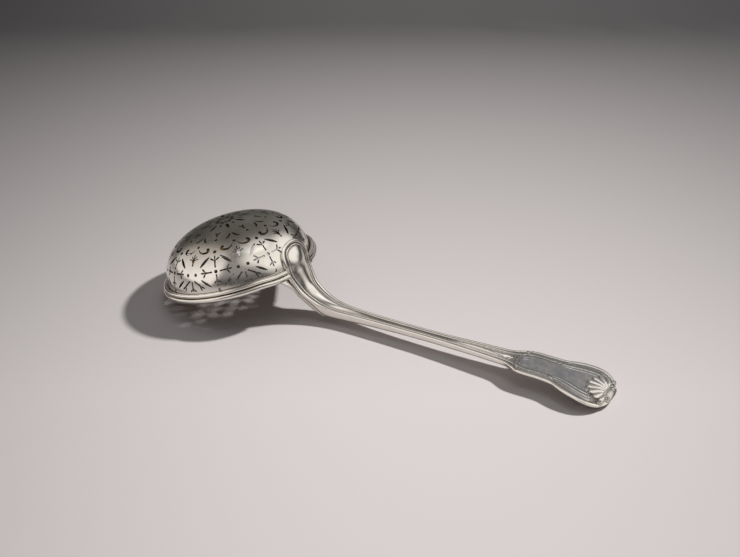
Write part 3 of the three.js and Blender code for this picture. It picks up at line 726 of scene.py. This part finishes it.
seats = []
for angle in (0.53, 0.38, 0.22, 0.09):
    seat, ahead, behind = (np.array(dome_point(a)) for a in (angle, angle + 0.02, angle - 0.02))
    lean = (ahead - behind) / np.linalg.norm(ahead - behind)
    seats.append(in_spoon(seat[0] + lean[1] * TONGUE_PLATE, seat[1] - lean[0] * TONGUE_PLATE))
seats.append(in_spoon(WALL_RADIUS + TONGUE_PLATE, 0))
line = spline(seats + [(MOUTH_X + x, z) for x, z in LINE_MARKS], 60)
line_x = line[:, 0] - MOUTH_X
line_s = run_length(line)
line_way = np.gradient(line, axis=0)
line_way /= np.linalg.norm(line_way, axis=1)[:, None]


def along(x):
    """The distance run along the line up to a place x from the mouth's centre."""
    return np.interp(x, line_x, line_s)


def place_at(s):
    return np.interp(s, line_s, line_x)


def on_handle(s, y, height):
    """A point over the handle's line: s along it, y to the side, height over the line."""
    s, y, height = (np.asarray(v, float) for v in (s, y, height))
    x = place_at(s)
    px, pz, wx, wz = (np.interp(s, line_s, row) for row in (*line.T, *line_way.T))
    lift = height - (1 - smooth(x, 31, 38)) * y * y / (2 * (WALL_RADIUS + TONGUE_PLATE))
    return np.stack([px - wz * lift, y, pz + wx * lift], axis=-1)


half_marks = np.array([(float(along(x)), w) for x, w in OUTLINE_MARKS])
closed = np.vstack([half_marks, (half_marks * [1, -1])[-2:0:-1]])
wrapped = np.vstack([closed[-2:], closed, closed[:2]])
OUTLINE_STEPS = 24
half_run = spline(wrapped, OUTLINE_STEPS)[2 * OUTLINE_STEPS:(len(half_marks) + 1) * OUTLINE_STEPS + 1]
half_run[:, 1] = np.abs(half_run[:, 1])
order = np.maximum.accumulate(half_run[:, 0])
END_S, TIP_S = half_run[0, 0], half_run[:, 0].max()


def half_width(s):
    return np.interp(s, order, half_run[:, 1])


def line_distance(s, y, path):
    """The distance from points to the nearest stretch of a path."""
    nearest = np.full(np.shape(s), 99.0)
    for start, end in zip(path, path[1:]):
        way = end - start
        t = np.clip(((s - start[0]) * way[0] + (y - start[1]) * way[1]) / (way @ way), 0, 1)
        nearest = np.minimum(nearest, np.hypot(s - start[0] - t * way[0], y - start[1] - t * way[1]))
    return nearest


def edge_distance(s, y):
    """The distance from a point of the face to the outline, measured over the unrolled face."""
    return line_distance(np.ravel(s), np.abs(np.ravel(y)), half_run)


THICKNESS_MARKS = [(34, 2.7), (44, 3.9), (54, 3.4), (69, 2.85), (80, 2.65), (100, 2.55), (116, 2.3),
                   (136, 1.9)]


def full_thickness(x):
    """How far the handle reaches below its line, smooth between the marks."""
    thickness = np.full(np.shape(x), THICKNESS_MARKS[0][1], float)
    for (start, before), (end, after) in zip(THICKNESS_MARKS, THICKNESS_MARKS[1:]):
        thickness = thickness + (after - before) * smooth(x, start, end)
    return thickness


def layer_thickness(x):
    """The thickness of the forging itself, which is a thin plate where the strap lies under it."""
    layer = 1.75 - 0.25 * smooth(x, 29, 34)
    return layer + (full_thickness(x) - layer) * smooth(x, 37, 46.5)


print("handle line:", round(float(line_s[-1]), 1), "mm long")

# %% [markdown]
# The border is a set of bands counted from the edge inwards: an outer bead, a hollow, and one or two threads.
# Their widths change along the handle. A band's height is a rounded bump or a hollow across it, and the
# hollows and grooves hold the tarnish.

# %% Handle face
BAND_MARKS = [24, 36, 46, 60, 96, 104, 118, 126, 132, 144, 152, 168]
BEAD = [1.5, 1.5, 1.1, 0.85, 0.85, 1.0, 1.0, 1.15, 1.3, 1.3, 1.6, 1.6]
COVE = [0.5, 0.5, 0.38, 0.34, 0.34, 0.38, 0.4, 0.7, 1.3, 1.35, 2.0, 2.0]
THREAD = [0.75, 0.75, 0.65, 0.58, 0.58, 0.55, 0.6, 0.75, 0.85, 0.95, 1.3, 1.3]
INNER = [0.02, 0.02, 0.02, 0.02, 0.02, 0.4, 0.45, 0.25, 0.02, 0.25, 1.15, 1.15]
GROOVE = 0.22
EDGE_DEPTH = 0.42
COVE_DIP, COVE_RISE = 0.12, 0.18
THREAD_RISE, INNER_RISE, GROOVE_DIP = 0.34, 0.3, 0.05
CROWNS = [(1.5, 25, 31.5, 44, 70), (0.4, 44, 60, 118, 130), (0.4, 100, 112, 123.5, 126.5)]
STEM_TARNISH, FIELD_EDGE_TARNISH = 0.72, 0.7
PANEL_DULL, PANEL_EDGE_DULL, BEAD_DULL = 1.0, 0.6, 0.55


def bump(t):
    return np.sqrt(np.clip(1 - (2 * t - 1) ** 2, 0, 1))


def flanks(t, start):
    """Tarnish that begins at a share of the way from a band's middle to its sides."""
    return smooth(np.abs(2 * t - 1), start, 1.0)


def face_height(s, y, distance):
    """The face's height over the line, its tarnish, its dullness and the distance inside the bands."""
    x = place_at(s)
    bead, cove, thread, inner = (np.interp(x, BAND_MARKS, w) for w in (BEAD, COVE, THREAD, INNER))
    fine = 1 - 0.45 * smooth(x, 122, 134)
    deep = EDGE_DEPTH * (1 - 0.15 * smooth(x, 126, 150))
    wide = smooth(cove, 0.6, 1.3)
    base = -deep + COVE_RISE * wide
    tall = INNER_RISE * fine * smooth(inner, 0.1, 0.6)
    bands = [
        (bead, lambda t: -deep + deep * bump(t) ** 0.9, lambda t: 0.75 * flanks(t, 0.75) * (t > 0.5)),
        (cove, lambda t: -deep - COVE_DIP * np.sin(math.pi * t) + COVE_RISE * wide * t,
         lambda t: 0.95 - 0.8 * wide * np.sin(math.pi * t)),
        (thread, lambda t: base + THREAD_RISE * fine * bump(t), lambda t: 0.8 * flanks(t, 0.7)),
        (GROOVE, lambda t: base - GROOVE_DIP * np.sin(math.pi * t), lambda t: 0.8),
        (inner, lambda t: base + tall * bump(t), lambda t: 0.7 * flanks(t, 0.7))]
    height, dark, low = np.zeros(x.shape), np.zeros(x.shape), distance
    for width, rise, stain in bands:
        t, here = np.clip(low / width, 0, 1), (low >= 0) & (low < width)
        height, dark = np.where(here, rise(t), height), np.where(here, stain(t), dark)
        low = low - width
    inside = low >= 0
    field = np.maximum(half_width(s) - (distance - low), 0.3)
    crown = sum(rise * smooth(x, a, b) * (1 - smooth(x, c, d)) for rise, a, b, c, d in CROWNS)
    height = np.where(inside, base + crown * np.clip(1 - (y / field) ** 2, 0, 1), height)
    worn = STEM_TARNISH * smooth(x, 48, 62) * smooth(x, 108, 98)
    dark = np.where(inside, worn + (FIELD_EDGE_TARNISH - worn) * (1 - smooth(low, 0, 0.5)), dark)
    matt = PANEL_EDGE_DULL + (PANEL_DULL - PANEL_EDGE_DULL) * smooth(low, 0, 1.2)
    dull = np.where(inside, smooth(x, 128.5, 130.5) * matt, 0.0)
    dull = np.where(~inside & (distance > bead * 0.8), BEAD_DULL * smooth(x, 122, 130), dull)
    return height, dark, dull, np.where(inside, low, 0.0)


# %% [markdown]
# The ornament is chased on top of the border. A shell of nine ribs fans out from a hub that rolls over the
# tip, with a volute on either side. A raised line with a husk closes the stem's field at the first
# shoulder, and a small scroll marks the second. Each is a rule for the height at a place on the face.

# %% Shell, scrolls and husk
FACE_LEVEL, FAR_AWAY = -0.35, 20.0
HUB_X, HUB_LENGTH, HUB_WIDTH, HUB_RISE = 165.7, 3.4, 7.4, 1.95
SHELL_REACH, SHELL_SPREAD, SHELL_BASE, SHELL_MOUND = 8.9, 1.15, 1.0, 0.6
SHELL_TURNS = np.radians(np.linspace(-82, 82, 9))
RIB_SLOPE, RIB_RISE = math.tan(math.radians(10.25)), 0.6
VOLUTE_X, VOLUTE_Y, VOLUTE_RADIUS, VOLUTE_RISE, VOLUTE_DIP = 166.0, 3.9, 1.45, 0.35, 0.12
VOLUTE_RING, VOLUTE_RING_HALF, VOLUTE_DOT = 0.76, 0.24, 0.36
SHOULDER_LINE = [(128.4, 0.0), (129.3, 1.2), (129.0, 2.4), (129.6, 3.6), (130.4, 4.6), (130.3, 5.8),
                 (131.2, 6.9)]
SIDE_SCROLL = [(143.4, 4.6), (144.4, 5.5), (145.7, 6.4), (147.2, 7.3)]
LINE_RISE, LINE_HALF = 0.16, 0.5
LEAF_PITCH, LEAF_RISE, LEAF_DIP = 1.5, 0.22, 0.2
FAN_X, FAN_RAYS, RAY_RISE = 128.6, 16, 0.09


def add_shell(s, y, height, dark, dull):
    """Ribs that widen from the hub to round ends, with tarnish between and round them."""
    room_left = smooth(half_width(s) - np.abs(y), 0.5, 1.9)
    ahead, y = along(HUB_X) - s, y / SHELL_SPREAD
    gap, rise, groove = np.full(s.shape, FAR_AWAY), np.zeros(s.shape), np.ones(s.shape)
    for turn in SHELL_TURNS:
        reach = SHELL_REACH * (0.74 + 0.26 * math.cos(turn))
        core = reach / (1 + RIB_SLOPE)
        run = ahead * math.cos(turn) + y * math.sin(turn)
        off = np.abs(y * math.cos(turn) - ahead * math.sin(turn))
        half = np.clip(run, 0.05, core) * RIB_SLOPE
        off = np.where(run < core, off, np.hypot(run - core, off))
        share = np.where(run > 0, off / half, FAR_AWAY)
        gap = np.minimum(gap, np.where(run > 0, off - half, FAR_AWAY))
        groove = np.minimum(groove, share)
        rib = RIB_RISE * smooth(run, 0.8, 4.2) * np.clip(1 - share ** 2, 0, 1) ** 0.65
        rise = np.maximum(rise, rib)
    far = np.clip(np.hypot(ahead, y) / SHELL_REACH, 0, 1)
    fan = smooth(gap, 0.3, 0.0) * room_left
    mound = SHELL_BASE + SHELL_MOUND * (1 - far ** 2)
    height = height * (1 - fan) + (mound + rise) * fan
    halo = (1 - fan) * smooth(gap, 0.6, 0.3)
    height = height - 0.1 * halo
    dark = dark * (1 - fan) + fan * 0.9 * smooth(groove, 0.72, 0.98) * smooth(far, 0.25, 0.6)
    return height, np.maximum(dark, 0.5 * halo), dull * (1 - fan) + 0.1 * fan


def add_hub(s, y, height, dark, dull):
    """The smooth back of the shell, rolled over the tip, and a volute at either side of it."""
    beyond = s - along(HUB_X)
    plain = smooth(np.abs(y), 5.2, 4.2) * smooth(beyond, -1.5, -0.3)
    height = height * (1 - plain) + FACE_LEVEL * plain
    dark, dull = dark * (1 - plain) + 0.2 * plain, dull * (1 - plain) + 0.25 * plain
    inside = 1 - ((beyond - 0.4) / HUB_LENGTH) ** 2 - (y / HUB_WIDTH) ** 2
    hub = np.where(inside > 0, FACE_LEVEL + HUB_RISE * np.clip(inside, 0, 1) ** 0.8, -FAR_AWAY)
    dark = np.where(hub > height, 0.12, dark)
    height = np.maximum(height, hub)
    out = np.hypot(s - along(VOLUTE_X), np.abs(y) - VOLUTE_Y) / VOLUTE_RADIUS
    ring = np.clip(1 - ((out - VOLUTE_RING) / VOLUTE_RING_HALF) ** 2, 0, 1)
    curl = np.maximum(ring, np.clip(1 - (out / VOLUTE_DOT) ** 2, 0, 1))
    height = np.where(out < 1.0, height + VOLUTE_RISE * curl - VOLUTE_DIP, height)
    dark = np.where(out < 1.12, 0.85 * (1 - curl ** 0.5), dark)
    return height, dark, dull


def add_line(s, y, marks, height, dark):
    """A raised line through the marks, mirrored across the handle, with a dark edge."""
    off = line_distance(s, np.abs(y), spline([(float(along(x)), w) for x, w in marks], 6))
    rise = LINE_RISE * np.clip(1 - (off / LINE_HALF) ** 2, 0, 1)
    flank = np.maximum(dark, 0.8 * smooth(off, 0.95, LINE_HALF))
    return height + rise - 0.08 * smooth(off, 1.0, LINE_HALF), np.where(off < LINE_HALF * 0.8, 0.25, flank)


def add_husk(s, y, height, dark, inner):
    """Overlapping pointed leaves that close the stem's field before the shoulder line."""
    x = place_at(s)
    tip = 1.9 * np.sqrt(np.clip((126.2 - x) / 4.0, 0, 1))
    here = smooth(x, 121.5, 123.0) * smooth(x, 129.0, 128.2) * smooth(np.abs(y), tip - 0.1, tip + 0.25)
    here = here * smooth(inner, -0.05, 0.1)
    leaves = np.abs(np.sin(math.pi * (x + 0.9 * np.abs(y)) / LEAF_PITCH))
    height = height + here * (LEAF_RISE * leaves - LEAF_DIP)
    return height, dark * (1 - here) + here * (0.95 - 0.75 * leaves ** 2)


def add_fan(s, y, height, inner):
    """Shallow rays that open into the panel behind the shoulder line."""
    beyond = s - along(FAN_X)
    run, turn = np.hypot(beyond, y), np.arctan2(y, beyond)
    window = smooth(run, 1.2, 2.2) * smooth(run, 6.0, 3.6) * smooth(inner, 0.0, 0.4)
    return height + RAY_RISE * window * np.cos(FAN_RAYS * turn)


def worked_face(s, y, distance):
    """The border with all the ornament on it."""
    height, dark, dull, inner = face_height(s, y, distance)
    height = add_fan(s, y, height, inner)
    height, dark = add_husk(s, y, height, dark, inner)
    for marks in (SHOULDER_LINE, SIDE_SCROLL):
        height, dark = add_line(s, y, marks, height, dark)
    height, dark, dull = add_shell(s, y, height, dark, dull)
    return add_hub(s, y, height, dark, dull)


# %% [markdown]
# The face is a fine net of points across and along the handle. Two close rows on each side keep the edges
# crisp, and the back is plain and slightly rounded.

# %% Handle mesh
ROWS, BACK_ROWS = 56, 10
BACK_DEPTH, BACK_INSET = (0.55, 0.4), (0.7, 0.9)
SIDE_TOP, SIDE_FOOT = 0.1, 0.15
SIDE_TARNISH, BACK_TARNISH = 0.1, 0.15


def stations():
    """Places along the handle, closer together at the ends and the shoulders."""
    marks = [(END_S, 0.12), (END_S + 4, 0.3), (along(36), 0.35), (along(48), 0.6), (along(118), 0.8),
             (along(124), 0.3), (along(134), 0.3), (along(140), 0.4), (along(154), 0.3), (along(157), 0.2),
             (TIP_S - 4, 0.2), (TIP_S, 0.06)]
    at, out = END_S + 0.03, []
    while at < TIP_S - 0.03:
        out.append(at)
        at += np.interp(at, [m[0] for m in marks], [m[1] for m in marks])
    return np.array(out)


def net(s, rows, crowding, hand):
    """Places across the handle at each station, closer together at its sides, and how far in they lie."""
    q = 1 - np.linspace(0, 1, rows) ** crowding
    share = hand * np.concatenate([q, -q[-2::-1]])
    at, side = np.repeat(s[:, None], len(share), axis=1), half_width(s)[:, None] * share[None, :]
    return at, side, edge_distance(at, side).reshape(at.shape)


def handle_mesh():
    s = stations()
    top_s, top_y, distance = net(s, ROWS + 1, 1.3, 1)
    height, dark, dull = worked_face(top_s, top_y, distance)
    back_s, back_y, back_distance = net(s, BACK_ROWS, 1.6, -1)
    back_x = place_at(back_s)
    broad = smooth(back_x, 120, 134)
    inset = np.clip(back_distance / (BACK_INSET[0] + BACK_INSET[1] * broad), 0, 1)
    round_edge = (BACK_DEPTH[0] + BACK_DEPTH[1] * broad) * (1 - np.sqrt(1 - (1 - inset) ** 2))
    depth = round_edge - layer_thickness(back_x)
    sides = []
    for column, back_column, hand in ((-1, 0, -1), (0, -1, 1)):
        upper = on_handle(s, hand * half_width(s), height[:, column] - SIDE_TOP)
        lower = on_handle(s, hand * half_width(s), depth[:, back_column] + SIDE_FOOT)
        sides.append(np.stack([upper, lower] if hand < 0 else [lower, upper], axis=1))
    rings = np.concatenate([on_handle(top_s, top_y, height), sides[0], on_handle(back_s, back_y, depth),
                            sides[1]], axis=1)
    edge, back = np.zeros((len(s), 2)), np.zeros(back_s.shape)
    stain = np.concatenate([dark, edge + SIDE_TARNISH, back + BACK_TARNISH, edge + SIDE_TARNISH], axis=1)
    matt = np.concatenate([dull, edge, back, edge], axis=1)
    return rings.reshape(-1, 3), tube_faces(*rings.shape[:2]), stain.ravel(), matt.ravel()


handle_points, handle_faces, handle_dark, handle_dull = handle_mesh()
handle = make_piece("forged_handle", handle_points, handle_faces, handle_silver, sharp=180,
                    tarnish=handle_dark, dull=handle_dull)
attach(handle, "root")
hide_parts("handle")

# %% [markdown]
# ## Root strap
# Under the tongue a strap springs from the lower wire and dies out under the stem. It is a wedge that
# follows the handle's line. Its sides flare in a hollow curve to meet the wire.

# %% Root strap
STRAP_START, STRAP_END, STRAP_STATIONS = 30.9, 45.2, 70
FLARE, FLARE_END, FLARE_RUN = 4.2, 34.4, 3.5
STRAP_GAP, LEAST_DEPTH, STRAP_TARNISH = 0.12, 0.25, 0.12
STRAP_LEVELS = np.array([0.0, 0.12, 0.35, 0.65, 0.9, 1.0])
STRAP_SWELL = np.array([0.0, 0.3, 0.5, 0.45, 0.15, -0.5])


def strap_mesh():
    s = np.linspace(along(STRAP_START), along(STRAP_END), STRAP_STATIONS)
    x = place_at(s)
    half = half_width(s) - 0.15 + FLARE * np.clip((FLARE_END - x) / FLARE_RUN, 0, 1) ** 2.0
    upper = -(layer_thickness(x) + STRAP_GAP)
    lower = np.minimum(-full_thickness(x) + 0.05, upper - LEAST_DEPTH)
    level, out = (np.concatenate([row, row[::-1]]) for row in (STRAP_LEVELS, STRAP_SWELL))
    hand = np.repeat([-1.0, 1.0], len(STRAP_LEVELS))
    body = smooth(x, STRAP_END, 40.0)[:, None]
    rings = on_handle(np.repeat(s[:, None], len(hand), axis=1),
                      hand * (half[:, None] + out * (0.35 + 0.65 * body)),
                      upper[:, None] + (lower - upper)[:, None] * level)
    return rings.reshape(-1, 3), tube_faces(*rings.shape[:2])


strap_points, strap_faces = strap_mesh()
strap = make_piece("root_strap_piece", strap_points, strap_faces, handle_silver,
                   tarnish=np.full(len(strap_points), STRAP_TARNISH))
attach(strap, "root")
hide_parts("root_strap")
